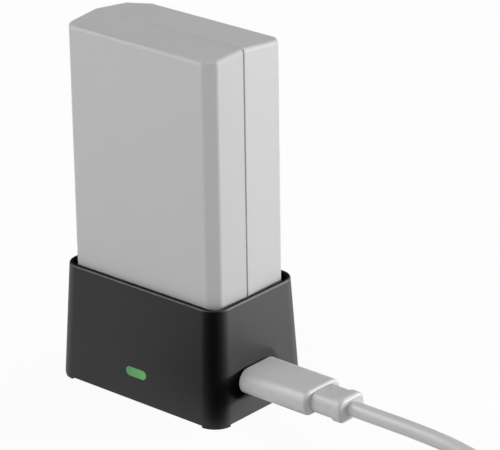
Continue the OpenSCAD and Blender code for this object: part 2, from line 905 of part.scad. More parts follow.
module usb_a_plug_grip() {
  color("#b0b0b0")
  translate([a_grip_x, far_plug[1], far_plug[2]])
    soft_bar(a_grip_w, a_grip_h, a_grip_r, a_grip_l, a_grip_front_edge, a_grip_rear_edge);
}

module usb_a_plug_shell() {
  color("#c8c8c8")
  translate([a_shell_x, far_plug[1], far_plug[2]])
    difference() {
      translate([0, -a_shell_w / 2, -a_shell_h / 2])
        cube([a_shell_l, a_shell_w, a_shell_h]);
      translate([-cut, a_sheet - a_shell_w / 2, a_sheet - a_shell_h / 2])
        cube([a_shell_l + 2 * cut, a_shell_w - 2 * a_sheet, a_shell_h - 2 * a_sheet]);
      for (side = [-1, 1])
        translate([a_window_x, side * a_shell_w / 4 - a_window[1] / 2, -a_shell_h])
          cube([a_window[0], a_window[1], 2 * a_shell_h]);
    }
}

module usb_a_plug_insert() {
  color("#303030")
  translate([a_shell_x, far_plug[1] - a_shell_w / 2 + a_sheet, far_plug[2] - a_shell_h / 2 + a_sheet])
    cube([a_shell_l - a_insert_recess, a_shell_w - 2 * a_sheet, a_insert_h]);
}

housing();
base_cover();
cover_screw(0);  // cover_screw_front_left
cover_screw(1);  // cover_screw_front_right
cover_screw(2);  // cover_screw_rear_left
cover_screw(3);  // cover_screw_rear_right
main_board();
port_shell();
port_tongue();
contact_carrier();
for (i = [0 : contact_count - 1])
  spring_contact(i);
light_pipe();
status_led();
charge_controller();
power_inductor();
power_switch();
input_capacitor();
output_capacitor();
sense_resistor();
battery_front_shell();
battery_rear_shell();
cell_left();
cell_right();
bridge_strip();
positive_strip();
negative_strip();
protection_board();
protection_chip();
for (i = [0 : contact_count - 1])
  battery_terminal(i);
usb_c_plug_shell();
usb_c_plug_insert();
usb_c_plug_grip();
usb_c_strain_relief();
cord();
cord_coil();
cord_tail();
cord_tie();
usb_a_strain_relief();
usb_a_plug_grip();
usb_a_plug_shell();
usb_a_plug_insert();
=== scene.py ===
from math import atan2, cos, degrees, pi, radians, sin

import bmesh
import bpy
from mathutils import Matrix, Quaternion, Vector


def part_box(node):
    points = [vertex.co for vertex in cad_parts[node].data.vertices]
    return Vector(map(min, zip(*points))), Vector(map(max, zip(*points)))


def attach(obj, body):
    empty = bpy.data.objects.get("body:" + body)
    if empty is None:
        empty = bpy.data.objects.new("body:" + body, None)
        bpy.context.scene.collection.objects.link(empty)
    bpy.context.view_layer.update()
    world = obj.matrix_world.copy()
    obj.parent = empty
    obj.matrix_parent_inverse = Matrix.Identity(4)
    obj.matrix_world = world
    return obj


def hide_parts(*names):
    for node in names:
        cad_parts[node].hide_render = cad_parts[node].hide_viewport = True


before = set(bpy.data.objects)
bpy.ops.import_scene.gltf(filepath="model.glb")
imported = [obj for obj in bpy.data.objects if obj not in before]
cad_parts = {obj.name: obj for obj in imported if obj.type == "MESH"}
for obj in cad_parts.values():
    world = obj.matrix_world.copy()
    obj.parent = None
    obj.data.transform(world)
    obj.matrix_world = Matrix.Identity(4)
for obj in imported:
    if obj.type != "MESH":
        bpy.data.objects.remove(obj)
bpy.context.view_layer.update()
mm = 0.001  # pieces are built in millimetres and brought to metres at the end
scene = bpy.context.scene


# Camera, fitted to the photograph's edges

camera = {
    "azimuth": 41.216,
    "elevation": 22.739,
    "roll": -0.87,
    "distance": 677.7,
    "target": (20.93, 0, 43.13),
    "lens": 227.4,
    "sensor": 36,
}


def makeCamera(look):
    turn, rise = radians(look["azimuth"]), radians(look["elevation"])
    back = Vector((sin(turn) * cos(rise), -cos(turn) * cos(rise), sin(rise)))
    data = bpy.data.cameras.new("camera")
    data.lens, data.sensor_width = look["lens"], look["sensor"]
    eye = bpy.data.objects.new("camera", data)
    eye.location = (Vector(look["target"]) + look["distance"] * back) * mm
    eye.rotation_mode = "QUATERNION"
    level = (-back).to_track_quat("-Z", "Y")
    eye.rotation_quaternion = level @ Quaternion((0, 0, 1), radians(look["roll"]))
    scene.collection.objects.link(eye)
    scene.camera = eye


makeCamera(camera)
print("camera placed")


# Materials: arithmetic on sockets, and one way to add any other node

class Wire:
    def __init__(self, finish, socket):
        self.finish, self.socket = finish, socket

    def calc(self, operation, first, second):
        return self.finish.add("ShaderNodeMath", {"operation": operation}, {0: first, 1: second})

    def __add__(self, other):
        return self.calc("ADD", self, other)

    def __sub__(self, other):
        return self.calc("SUBTRACT", self, other)

    def __rsub__(self, other):
        return self.calc("SUBTRACT", other, self)

    def __mul__(self, other):
        return self.calc("MULTIPLY", self, other)

    __radd__, __rmul__ = __add__, __mul__


class Finish:
    def __init__(self, owner):
        owner.use_nodes = True
        self.owner, self.tree = owner, owner.node_tree
        self.tree.nodes.clear()

    def add(self, kind, settings=None, values=None, output=0):
        node = self.tree.nodes.new(kind)
        for name, value in (settings or {}).items():
            setattr(node, name, value)
        for key, value in (values or {}).items():
            if isinstance(value, Wire):
                self.tree.links.new(value.socket, node.inputs[key])
            else:
                node.inputs[key].default_value = value
        return Wire(self, node.outputs[output]) if node.outputs else None

    def place(self):
        return self.add("ShaderNodeTexCoord", output=3)

    def noise(self, size, detail=3.0, stretch=None):  # size of a feature in mm
        where = self.place()
        if stretch:
            where = self.add("ShaderNodeMapping", {}, {"Vector": where, "Scale": stretch})
        values = {"Vector": where, "Scale": 1 / (size * mm), "Detail": detail}
        return self.add("ShaderNodeTexNoise", {}, values)

    def blend(self, share, first, second):  # two colours
        values = {0: share, 6: (*first, 1), 7: (*second, 1)}
        return self.add("ShaderNodeMix", {"data_type": "RGBA"}, values, output=2)

    def tones(self, share, colour, dark, light):  # one colour, darker to lighter
        return self.blend(share, shade(colour, dark), shade(colour, light))

    def bump(self, height, depth):  # depth in mm
        return self.add("ShaderNodeBump", {}, {"Height": height, "Distance": depth * mm})

    def finish(self, shader):
        self.add("ShaderNodeOutputMaterial", {}, {"Surface": shader})
        return self.owner

    def surface(self, values):
        return self.finish(self.add("ShaderNodeBsdfPrincipled", {}, values))


def shade(colour, by):
    return tuple(min(1, c * by) for c in colour)


def moulded(name, look):  # moulded plastic: fine grain, faint clouds in tone and gloss
    made = Finish(bpy.data.materials.new(name))
    grain = made.noise(look["grain"], 2)
    clouds = made.noise(look["clouds"], 3)
    scuffs = made.noise(look["clouds"] / 4, 4, (1, 1, 0.25))
    drift = look["drift"]
    return made.surface({
        "Base Color": made.tones(clouds, look["colour"], 1 - drift, 1 + drift),
        "Roughness": look["roughness"] + look["glossDrift"] * (clouds + scuffs - 1),
        "Normal": made.bump(grain, look["grainDepth"]),
        "IOR": look.get("ior", 1.5),
        "Specular IOR Level": look.get("specular", 0.5),
    })


def metal(name, look):  # drawn or plated metal: fine lines along one way
    made = Finish(bpy.data.materials.new(name))
    lines = made.noise(look["line"], 4, look["along"])
    stains = made.noise(3, 3)
    return made.surface({
        "Base Color": made.tones(stains, look["colour"], 0.9, 1.06),
        "Metallic": 1.0,
        "Roughness": look["roughness"] + 0.12 * (lines + stains - 1),
        "Normal": made.bump(lines, 0.004),
    })


finishes = {
    "housing": {"colour": (0.003, 0.003, 0.003), "roughness": 0.48, "glossDrift": 0.06, "grain": 0.18,
                "grainDepth": 0.004, "clouds": 9, "drift": 0.12, "ior": 1.45},
    "pocket": {"colour": (0.004, 0.004, 0.004), "roughness": 0.7, "glossDrift": 0.08, "grain": 0.3,
               "grainDepth": 0.008, "clouds": 6, "drift": 0.15, "specular": 0.08},
    "battery": {"colour": (0.5, 0.5, 0.5), "roughness": 0.62, "glossDrift": 0.05, "grain": 0.22,
                "grainDepth": 0.008, "clouds": 14, "drift": 0.02},
    "plug": {"colour": (0.54, 0.54, 0.54), "roughness": 0.46, "glossDrift": 0.08, "grain": 0.16,
             "grainDepth": 0.004, "clouds": 5, "drift": 0.03},
    "cable": {"colour": (0.55, 0.55, 0.55), "roughness": 0.42, "glossDrift": 0.08, "grain": 0.25,
              "grainDepth": 0.008, "clouds": 7, "drift": 0.03},
    "cover": {"colour": (0.012, 0.012, 0.012), "roughness": 0.6, "glossDrift": 0.08, "grain": 0.3,
              "grainDepth": 0.012, "clouds": 8, "drift": 0.15},
    "insulator": {"colour": (0.015, 0.015, 0.015), "roughness": 0.5, "glossDrift": 0.06, "grain": 0.2,
                  "grainDepth": 0.004, "clouds": 3, "drift": 0.1},
    "carrier": {"colour": (0.72, 0.69, 0.6), "roughness": 0.5, "glossDrift": 0.06, "grain": 0.2,
                "grainDepth": 0.004, "clouds": 3, "drift": 0.04},
    "lamp": {"colour": (0.85, 0.83, 0.75), "roughness": 0.3, "glossDrift": 0.04, "grain": 0.2,
             "grainDepth": 0.002, "clouds": 1, "drift": 0.03},
    "chip": {"colour": (0.014, 0.014, 0.015), "roughness": 0.55, "glossDrift": 0.06, "grain": 0.12,
             "grainDepth": 0.004, "clouds": 2, "drift": 0.1},
    "ferrite": {"colour": (0.055, 0.055, 0.058), "roughness": 0.6, "glossDrift": 0.08, "grain": 0.2,
                "grainDepth": 0.01, "clouds": 2, "drift": 0.12},
    "ceramic": {"colour": (0.48, 0.31, 0.16), "roughness": 0.45, "glossDrift": 0.06, "grain": 0.15,
                "grainDepth": 0.003, "clouds": 1.5, "drift": 0.06},
    "sleeve": {"colour": (0.045, 0.18, 0.46), "roughness": 0.25, "glossDrift": 0.05, "grain": 1.5,
               "grainDepth": 0.01, "clouds": 12, "drift": 0.05},
    "board": {"colour": (0.015, 0.13, 0.05), "roughness": 0.32, "glossDrift": 0.05, "grain": 0.6,
              "grainDepth": 0.01, "clouds": 4, "drift": 0.12},
}
metals = {
    "screwSteel": {"colour": (0.5, 0.5, 0.51), "roughness": 0.34, "line": 0.3, "along": (1, 1, 6)},
    "connectorSteel": {"colour": (0.66, 0.66, 0.67), "roughness": 0.28, "line": 0.15,
                       "along": (0.08, 1, 1)},
    "contactGold": {"colour": (0.78, 0.56, 0.22), "roughness": 0.24, "line": 0.1,
                    "along": (1, 1, 0.1)},
    "nickel": {"colour": (0.62, 0.6, 0.56), "roughness": 0.36, "line": 0.2, "along": (0.1, 1, 1)},
}
paint = {name: moulded(name, look) for name, look in finishes.items()}
paint.update({name: metal(name, look) for name, look in metals.items()})


def lensFinish(look):  # lit green plastic, brighter towards the end where its lamp lies
    made = Finish(bpy.data.materials.new("lens"))
    cloud = made.noise(1.4, 2)
    across = made.add("ShaderNodeSeparateXYZ", {}, {"Vector": made.place()})  # its X
    along = across * (1 / (look["reach"] * mm)) + 0.5
    return made.surface({
        "Base Color": made.tones(cloud * 0.4 + along * 0.6, look["colour"], 0.85, 1.15),
        "Roughness": look["roughness"] + 0.1 * (cloud - 0.5),
        "Emission Color": made.tones(along, look["glow"], 0.4, 1.5),
        "Emission Strength": look["power"],
        "Normal": made.bump(made.noise(0.3, 2), 0.003),
    })


def weaveFinish(look):  # woven strap: two crossing rows of threads with a nap
    made = Finish(bpy.data.materials.new("strap"))
    pitch = pi / (10 * look["thread"] * mm)  # a wave texture repeats every pi / 10 at a scale of 1
    values = {"Vector": made.place(), "Scale": pitch}
    across = made.add("ShaderNodeTexWave", {"bands_direction": "X"}, values)
    along = made.add("ShaderNodeTexWave", {"bands_direction": "DIAGONAL"}, values)
    weave = across * along
    return made.surface({
        "Base Color": made.tones(weave, look["colour"], 0.6, 1.5),
        "Roughness": 0.8 + 0.15 * weave,
        "Normal": made.bump(weave + 0.4 * made.noise(0.2, 3), 0.08),
    })


lensLook = {"colour": (0.06, 0.27, 0.075), "glow": (0.06, 0.14, 0.05), "power": 0.5,
            "roughness": 0.3, "reach": 6}
strapLook = {"colour": (0.02, 0.02, 0.02), "thread": 0.7}
paint["lens"] = lensFinish(lensLook)
paint["strap"] = weaveFinish(strapLook)
print("materials mixed")


# Shared shapes

def roundOff(bm, verts, size, segments):  # corners seen from above
    bmesh.ops.bevel(bm, geom=verts, offset=size, affect="VERTICES", segments=segments, profile=0.5,
                    material=-1)


def ring(bm, width, depth, radius, height, steps=8):  # rounded rectangle as one face, at a height
    before = set(bm.faces)
    corners = bmesh.ops.create_grid(bm, x_segments=1, y_segments=1, size=0.5)["verts"]
    bmesh.ops.scale(bm, vec=(width, depth, 1), verts=corners)
    bmesh.ops.translate(bm, vec=(0, 0, height), verts=corners)
    roundOff(bm, corners, radius, steps)
    return next(face for face in bm.faces if face not in before)


def loft(bm, sections, capFirst=True, steps=8):  # sections are (width, depth, radius, height)
    rings = [ring(bm, *section, steps=steps) for section in sections]
    edges = [list(face.edges) for face in rings]
    bands = []
    for lower, upper in zip(edges, edges[1:]):
        bands.append(bmesh.ops.bridge_loops(bm, edges=lower + upper)["faces"])
    spare = rings[1:-1] if capFirst else rings[:-1]
    bmesh.ops.delete(bm, geom=spare, context="FACES_ONLY")
    return edges, bands


def roundEnd(width, depth, radius, height, edge, way, steps=4):  # sections that round the end of a bar
    made = []
    for i in range(steps + 1):
        angle = radians(90 * i / steps)
        inset = edge * (1 - sin(angle))
        level = height + way * edge * (1 - cos(angle))
        made.append((width - 2 * inset, depth - 2 * inset, radius - inset, level))
    return made


def softBar(bm, width, depth, radius, start, length, startEdge, endEdge):
    first = roundEnd(width, depth, radius, start, startEdge, 1)
    last = roundEnd(width, depth, radius, start + length, endEdge, -1)
    loft(bm, first + last[::-1])


def pullFaces(bm, faces):  # extruded without the old faces: the new faces and their corners
    grown = bmesh.ops.extrude_face_region(bm, geom=faces)["geom"]
    bmesh.ops.delete(bm, geom=faces, context="FACES_ONLY")
    return ([item for item in grown if isinstance(item, bmesh.types.BMFace)],
            [item for item in grown if isinstance(item, bmesh.types.BMVert)])


def layAlongX(bm, place):  # bar built along Z: its width comes to Y, its depth to Z
    turn = Matrix(((0, 0, 1), (1, 0, 0), (0, 1, 0))).to_4x4()
    bmesh.ops.transform(bm, matrix=Matrix.Translation(place) @ turn, verts=bm.verts)


def toMesh(bm, name):  # millimetres become metres
    bmesh.ops.scale(bm, vec=(mm, mm, mm), verts=bm.verts)
    mesh = bpy.data.meshes.new(name)
    bm.to_mesh(mesh)
    bm.free()
    return mesh


def publish(bm, name, materials, nodes, sharp=38, tidy=True):
    bmesh.ops.remove_doubles(bm, verts=bm.verts, dist=0.0005)
    if tidy:
        bmesh.ops.recalc_face_normals(bm, faces=bm.faces)
    for face in bm.faces:
        face.smooth = True
    for edge in bm.edges:
        edge.smooth = edge.calc_face_angle(0) < radians(sharp)
    mesh = toMesh(bm, name)
    for material in materials:
        mesh.materials.append(paint[material])
    piece = bpy.data.objects.new(name, mesh)
    scene.collection.objects.link(piece)
    even = piece.modifiers.new("even", "WEIGHTED_NORMAL")
    even.keep_sharp = True
    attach(piece, "root")
    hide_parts(*nodes)
    return piece


# Cable: one curve from the strain relief, through the coil, to the far plug

cable = {
    "diameter": 3.5,
    "length": 950,
    "start": (50.604, -1.8, 9.3),
    "route": [(57, -1.8, 9.3), (63, -1.8, 9.3), (69, -1.8, 9.2), (75, -1.9, 9),
              (80, -2, 8.5), (85, -2.2, 7.6), (89.4, -3, 6.2)],
    "lead": (102.4, -10.5, 2.8),
    "coilCentre": (114, 9.6),
    "coilRadius": 18,
    "coilFloor": 0.6,
    "turnsWide": 4,
    "turns": 7.5,
    "stepsInward": (305, 665, 1025),  # degrees travelled where the cable moves over by a turn
    "stepsOutward": (1645, 2005, 2365),
    "climb": 1335,
    "stepReach": 50,
    "lastReach": 60,
    "tail": [(124, 26.6, 9.4), (118.5, 29, 9.4), (112.5, 29.6, 9.4), (106.6, 28.2, 9.5), (102, 24.4, 9.8),
             (100, 19, 10.3), (101, 13.4, 10.9), (105, 9.2, 11.4), (109, 7.7, 11.6)],
    "farPlug": (112, 7.6, 11.6),
}


def ease(value):
    value = min(max(value, 0), 1)
    return value * value * (3 - 2 * value)


# Inward on the table, up at the middle, outward on top, then onto the turns
def coilPoints(look, stride=20):
    pitch, reach, lastReach = look["diameter"], look["stepReach"], look["lastReach"]
    x, y = look["coilCentre"]
    outer = look["coilRadius"] + (look["turnsWide"] - 1) / 2 * pitch
    entry = degrees(atan2(look["lead"][1] - y, look["lead"][0] - x))
    last = 360 * look["turns"]
    points = []
    for travelled in range(stride, int(last), stride):
        inward = sum(ease((travelled - begin) / reach) for begin in look["stepsInward"])
        outward = sum(ease((travelled - begin) / reach) for begin in look["stepsOutward"])
        up = ease((travelled - look["climb"]) / reach)
        over = ease((travelled - last + lastReach) / lastReach)
        radius = outer - pitch * (inward - outward + over)
        height = look["coilFloor"] + pitch * (0.5 + up + over)
        angle = radians(entry + travelled)
        points.append((x + radius * cos(angle), y + radius * sin(angle), height))
    return points


def makeCable(look):
    points = [look["start"], *look["route"], look["lead"], *coilPoints(look), *look["tail"],
              look["farPlug"]]
    data = bpy.data.curves.new("cable", "CURVE")
    data.dimensions = "3D"
    data.bevel_depth, data.bevel_resolution = look["diameter"] / 2 * mm, 5
    data.resolution_u = data.render_resolution_u = 4
    data.use_fill_caps = True
    spline = data.splines.new("BEZIER")
    spline.bezier_points.add(len(points) - 1)
    for knot, point in zip(spline.bezier_points, points):
        knot.co = Vector(point) * mm
        knot.handle_left_type = knot.handle_right_type = "AUTO"
    data.materials.append(paint["cable"])
    piece = bpy.data.objects.new("cable", data)
    scene.collection.objects.link(piece)
    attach(piece, "root")
    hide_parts("cord", "cord_coil", "cord_tail")
    return piece


cablePiece = makeCable(cable)
print("cable laid")


# Charger housing

boxLow, boxHigh = (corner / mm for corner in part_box("housing"))
housing = {
    "width": boxHigh.x - boxLow.x,
    "depth": boxHigh.y - boxLow.y,
    "height": boxHigh.z,
    "sideFlare": 1.25,
    "faceFlare": 1.6,
    "cornerRadius": 4.6,
    "cornerLoss": 0.3,  # how much tighter the corners are at the rim
    "bottomEdge": 0.15,
    "footHeight": 0.45,
    "footReach": 4.6,
    "skirtWall": 1.8,
    "ceiling": 11.2,
    "rimEdge": 0.4,
    "rimFall": 0.04,  # the rim slopes inward a little, and level rings would bridge crosswise
    "lipEdge": 0.2,
    "sideRim": 1.0,
    "faceRim": 1.3,
    "pocketRadius": 2.4,
    "pocketFloor": 12.4,
    "steps": 10,
}
lamp = {"width": 5.9, "height": 1.95, "z": 7.2, "gap": 0.1, "lip": 0.12, "depth": 1.2,
        "rearEdge": 0.02, "dome": 0.25}
port = {"width": 9.34, "height": 3.56, "radius": 1.45, "y": -1.8, "z": 9.3, "lip": 0.15,
        "depth": 1.5}


def housingSize(look, z, inset=0):  # outer section at a height
    share = z / look["height"]
    return (look["width"] - 2 * look["sideFlare"] * share - 2 * inset,
            look["depth"] - 2 * look["faceFlare"] * share - 2 * inset,
            look["cornerRadius"] - look["cornerLoss"] * share - inset, z)


def wallFrame(face, x, y, z):  # plane of a wall at a point: X level, Z outwards
    out = face.normal.copy()
    level = Vector((0, 0, 1)).cross(out).normalized()
    up = out.cross(level)
    corner = face.verts[0].co
    point = Vector((x, y, z))
    point += out * (corner - point).dot(out) / out.dot(out)
    return Matrix.Translation(point) @ Matrix((level, up, out)).transposed().to_4x4()


# Opening with a rounded lip in a flat wall
def sinkHole(bm, face, plane, width, height, radius, lip, depth):
    around = list(face.edges)
    bmesh.ops.delete(bm, geom=[face], context="FACES_ONLY")
    before = set(bm.verts)
    sections = [(width + 2 * lip, height + 2 * lip, radius + lip, 0),
                (width + lip / 2, height + lip / 2, radius + lip / 4, -lip / 2),
                (width, height, radius, -lip),
                (width, height, radius, -depth)]
    edges, _ = loft(bm, sections, capFirst=False)
    bmesh.ops.transform(bm, matrix=plane, verts=[vert for vert in bm.verts if vert not in before])
    bmesh.ops.triangle_fill(bm, use_beauty=True, edges=around + edges[0])


def makeHousing(look, lampLook, portLook):
    bm = bmesh.new()
    base, edge = look["footHeight"], look["bottomEdge"]
    top, lip = look["height"], look["lipEdge"]
    hollow = housingSize(look, look["ceiling"], look["skirtWall"])
    rim = housingSize(look, top - look["rimEdge"])
    width = look["width"] - 2 * (look["sideFlare"] + look["sideRim"])
    depth = look["depth"] - 2 * (look["faceFlare"] + look["faceRim"])
    radius = look["pocketRadius"]
    outside = [hollow, (*hollow[:3], base), housingSize(look, base, edge),
               housingSize(look, base + edge), rim]
    outside += roundEnd(*rim[:3], top, look["rimEdge"], -1)[::-1][1:]
    pocket = [(width + 2 * lip, depth + 2 * lip, radius + lip, top - look["rimFall"]),
              (width + 0.6 * lip, depth + 0.6 * lip, radius + 0.3 * lip, top - 0.3 * lip),
              (width, depth, radius, top - lip),
              (width, depth, radius, look["pocketFloor"])]
    _, bands = loft(bm, outside + pocket, steps=look["steps"])
    bmesh.ops.recalc_face_normals(bm, faces=bm.faces)
    for band in bands[len(outside) - 1:]:
        for face in band:
            face.material_index = 1
    corners = [face for face in bands[1]
               if abs(face.calc_center_median().x) > look["width"] / 2 - look["footReach"]
               and abs(face.calc_center_median().y) > look["depth"] / 2 - look["footReach"]]
    _, feet = pullFaces(bm, corners)
    bmesh.ops.translate(bm, vec=(0, 0, -base), verts=feet)
    walls = bands[3]
    front = min(walls, key=lambda face: face.calc_center_median().y)
    right = max(walls, key=lambda face: face.calc_center_median().x)
    lampPlane = wallFrame(front, 0, -look["depth"] / 2, lampLook["z"])
    portPlane = wallFrame(right, look["width"] / 2, portLook["y"], portLook["z"])
    room = 2 * lampLook["gap"]
    sinkHole(bm, front, lampPlane, lampLook["width"] + room, lampLook["height"] + room,
             (lampLook["height"] + room) / 2 - 0.01, lampLook["lip"], lampLook["depth"])
    sinkHole(bm, right, portPlane, portLook["width"], portLook["height"], portLook["radius"],
             portLook["lip"], portLook["depth"])
    publish(bm, "charger_housing", ["housing", "pocket"], ["housing"])
    return lampPlane


lampPlane = makeHousing(housing, lamp, port)
print("housing moulded")


def makeLens(look, plane):
    bm = bmesh.new()
    softBar(bm, look["width"], look["height"], look["height"] / 2 - 0.01, -look["depth"],
            look["depth"], look["rearEdge"], look["dome"])
    bmesh.ops.transform(bm, matrix=plane, verts=bm.verts)
    publish(bm, "status_lens", ["lens"], [])


makeLens(lamp, lampPlane)


# Battery: two drafted half shells that meet at a grooved seam

battery = {
    "bottom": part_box("battery_front_shell")[0].z / mm,
    "top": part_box("battery_front_shell")[1].z / mm,
    "halfWidth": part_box("battery_front_shell")[1].x / mm,
    "seam": -1.8,
    "sideDraft": 0.45,
    "groove": 0.25,
    "wall": 1.4,
    "topEdge": 0.9,
    "soft": 0.45,  # rounding along the chamfers' edges
}
batteryHalves = {
    "battery_front": {"face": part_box("battery_front_shell")[0].y / mm, "leftChamfer": 1.8,
                      "rightChamfer": 2.2, "drop": 0.8, "node": "battery_front_shell"},
    "battery_rear": {"face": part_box("battery_rear_shell")[1].y / mm, "leftChamfer": 4.1,
                     "rightChamfer": 2.2, "drop": 1.6, "node": "battery_rear_shell"},
}


def onSeam(look, item):  # an edge or face at the seam
    return all(abs(abs(vert.co.y - look["seam"]) - look["groove"]) < 0.01 for vert in item.verts)


def makeBatteryHalf(name, look, half):
    bm = bmesh.new()
    way = 1 if half["face"] > look["seam"] else -1
    depth = abs(half["face"] - look["seam"])
    seamHalf, faceHalf = look["halfWidth"], look["halfWidth"] - look["sideDraft"]
    plan = [(-seamHalf, look["groove"]), (seamHalf, look["groove"]), (faceHalf, depth),
            (-faceHalf, depth)]
    verts = [bm.verts.new((x, look["seam"] + way * y, look["bottom"])) for x, y in plan]
    bm.faces.new(verts)
    for corner, size in zip(verts[2:], (half["rightChamfer"], half["leftChamfer"])):
        roundOff(bm, [corner], size, 1)
    outer = sorted(bm.verts, key=lambda vert: -way * vert.co.y)[:4]
    roundOff(bm, outer, look["soft"], 4)
    bm.faces.ensure_lookup_table()
    grown = bmesh.ops.extrude_face_region(bm, geom=[bm.faces[0]])["geom"]
    topFace = next(item for item in grown if isinstance(item, bmesh.types.BMFace))
    bmesh.ops.translate(bm, vec=(0, 0, look["top"] - look["bottom"]), verts=topFace.verts)
    for vert in topFace.verts:
        vert.co.z -= half["drop"] * abs(vert.co.y - look["seam"]) / depth
    edges = [edge for edge in topFace.edges if not onSeam(look, edge)]
    bmesh.ops.bevel(bm, geom=edges, offset=look["topEdge"], affect="EDGES", segments=5, profile=0.5,
                    material=-1, clamp_overlap=True)
    bmesh.ops.recalc_face_normals(bm, faces=bm.faces)
    seamFaces = [face for face in bm.faces if onSeam(look, face)]
    seamFace = max(seamFaces, key=lambda face: face.calc_area())
    bmesh.ops.inset_region(bm, faces=[seamFace], thickness=2 * look["groove"], depth=look["groove"])
    bmesh.ops.inset_region(bm, faces=[seamFace], thickness=look["wall"] - 2 * look["groove"], depth=0)
    deepest = max(half["leftChamfer"], half["rightChamfer"])
    narrowed = 1 - deepest / look["halfWidth"]
    for reach, narrow in ((depth - deepest - 1, 1), (deepest + 1 - look["wall"], narrowed)):
        (seamFace,), _ = pullFaces(bm, [seamFace])
        bmesh.ops.translate(bm, vec=(0, way * reach, 0), verts=seamFace.verts)
        bmesh.ops.scale(bm, vec=(narrow, 1, 1), verts=seamFace.verts)
        upper = [vert for vert in seamFace.verts if vert.co.z > look["top"] / 2]
        bmesh.ops.translate(bm, vec=(0, 0, -half["drop"] * reach / depth), verts=upper)
    publish(bm, name, ["battery"], [half["node"]], tidy=False)


for name, half in batteryHalves.items():
    makeBatteryHalf(name, battery, half)
print("battery shells moulded")


# Plugs

plug = {
    "start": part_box("usb_c_plug_grip")[0].x / mm,
    "length": 18.4,
    "y": -1.8,
    "z": 9.3,
    "width": 12.4,
    "height": 5.8,
    "radius": 2.75,
    "frontEdge": 0.3,
    "rearEdge": 0.7,
}
relief = {
    "neckWidth": 8,
    "neckHeight": 4.9,
    "neckRadius": 1.9,
    "neckLength": 5.6,
    "slotStart": 1.3,
    "slotWidth": 0.9,
    "slotInset": 0.1,
    "slotShare": 0.55,  # of the neck's flat width
    "slotDepth": 0.16,
    "collarRise": 0.35,
    "collarLength": 2.6,
    "frontEdge": 0.3,
    "rearEdge": 0.8,
}


def makeGrip(bm, look, start=0, room=0, frontEdge=None):  # or a card with some room around the grip
    softBar(bm, look["width"] + 2 * room, look["height"] + 2 * room, look["radius"] + room, start,
            look["length"], frontEdge or look["frontEdge"], look["rearEdge"])


def makePlug(look):
    bm = bmesh.new()
    makeGrip(bm, look)
    layAlongX(bm, (look["start"], look["y"], look["z"]))
    return publish(bm, "plug_grip", ["plug"], ["usb_c_plug_grip"])


def makeRelief(look, grip):
    bm = bmesh.new()
    stops = [0, look["slotStart"], look["slotStart"] + look["slotWidth"], look["neckLength"]]
    size = (look["neckWidth"], look["neckHeight"], look["neckRadius"])
    rise = look["collarRise"]
    _, bands = loft(bm, [(*size, stop) for stop in stops])
    bmesh.ops.recalc_face_normals(bm, faces=bm.faces)
    byHeight = sorted(bands[1], key=lambda face: face.calc_center_median().y)
    for way, flat in ((-1, byHeight[0]), (1, byHeight[-1])):  # below and above
        bmesh.ops.inset_region(bm, faces=[flat], thickness=look["slotInset"], depth=0)
        bmesh.ops.scale(bm, vec=(look["slotShare"], 1, 1), verts=flat.verts)
        _, floor = pullFaces(bm, [flat])
        bmesh.ops.translate(bm, vec=(0, -way * look["slotDepth"], 0), verts=floor)
    softBar(bm, size[0] + 2 * rise, size[1] + 2 * rise, size[2] + rise, look["neckLength"],
            look["collarLength"], look["frontEdge"], look["rearEdge"])
    layAlongX(bm, (grip["start"] + grip["length"], grip["y"], grip["z"]))
    return publish(bm, "plug_strain_relief", ["plug"], ["usb_c_strain_relief"])


plugPiece = makePlug(plug)
reliefPiece = makeRelief(relief, plug)

farPlug = {
    "start": 120,
    "length": 23,
    "y": 7.6,
    "z": 11.6,
    "width": 15.6,
    "height": 8,
    "radius": 2.4,
    "frontEdge": 0.8,
    "rearEdge": 0.4,
    "reliefLength": 8,
    "thin": 2.25,
    "thick": 3.2,
    "ribs": 4,
    "ribDepth": 0.15,
}


def makeFarPlug(look):
    bm = bmesh.new()
    makeGrip(bm, look)
    layAlongX(bm, (look["start"], look["y"], look["z"]))
    return publish(bm, "far_plug_grip", ["plug"], ["usb_a_plug_grip"])


def makeFarRelief(look):
    bm = bmesh.new()
    sections = []
    count = look["ribs"] * 4
    for i in range(count + 1):  # shallow ribs along a cone, four sections to a rib
        share = i / count
        radius = look["thin"] + (look["thick"] - look["thin"]) * share
        radius -= look["ribDepth"] * (1 - cos(2 * pi * look["ribs"] * share)) / 2
        sections.append((2 * radius, 2 * radius, radius - 0.01, share * look["reliefLength"]))
    loft(bm, sections, steps=6)
    layAlongX(bm, (look["start"] - look["reliefLength"], look["y"], look["z"]))
    return publish(bm, "far_plug_relief", ["plug"], ["usb_a_strain_relief"])


farPieces = [makeFarPlug(farPlug), makeFarRelief(farPlug)]
print("plugs moulded")


# Finishes of the CAD pieces that stay

nodeFinishes = {
    "cover": ["base_cover"],
    "screwSteel": [f"cover_screw_{end}_{side}" for end in ("front", "rear") for side in ("left", "right")],
    "board": ["main_board", "protection_board"],
    "connectorSteel": ["port_shell", "usb_c_plug_shell", "usb_a_plug_shell"],
    "insulator": ["port_tongue", "usb_c_plug_insert", "usb_a_plug_insert"],
    "carrier": ["contact_carrier"],
    "contactGold": [f"{part}_{i}" for part in ("spring_contact", "battery_terminal") for i in range(1, 5)],
    "lens": ["light_pipe"],
    "lamp": ["status_led"],
    "chip": ["charge_controller", "power_switch", "protection_chip", "sense_resistor"],
    "ferrite": ["power_inductor"],
    "ceramic": ["input_capacitor", "output_capacitor"],
    "sleeve": ["cell_left", "cell_right"],
    "nickel": ["bridge_strip", "positive_strip", "negative_strip"],
    "strap": ["cord_tie"],
}
for finish, names in nodeFinishes.items():
    for name in names:
        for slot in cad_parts[name].material_slots:
            slot.link = "OBJECT"
            slot.material = paint[finish]
print("frame pieces painted")


# Floor, world and lamps

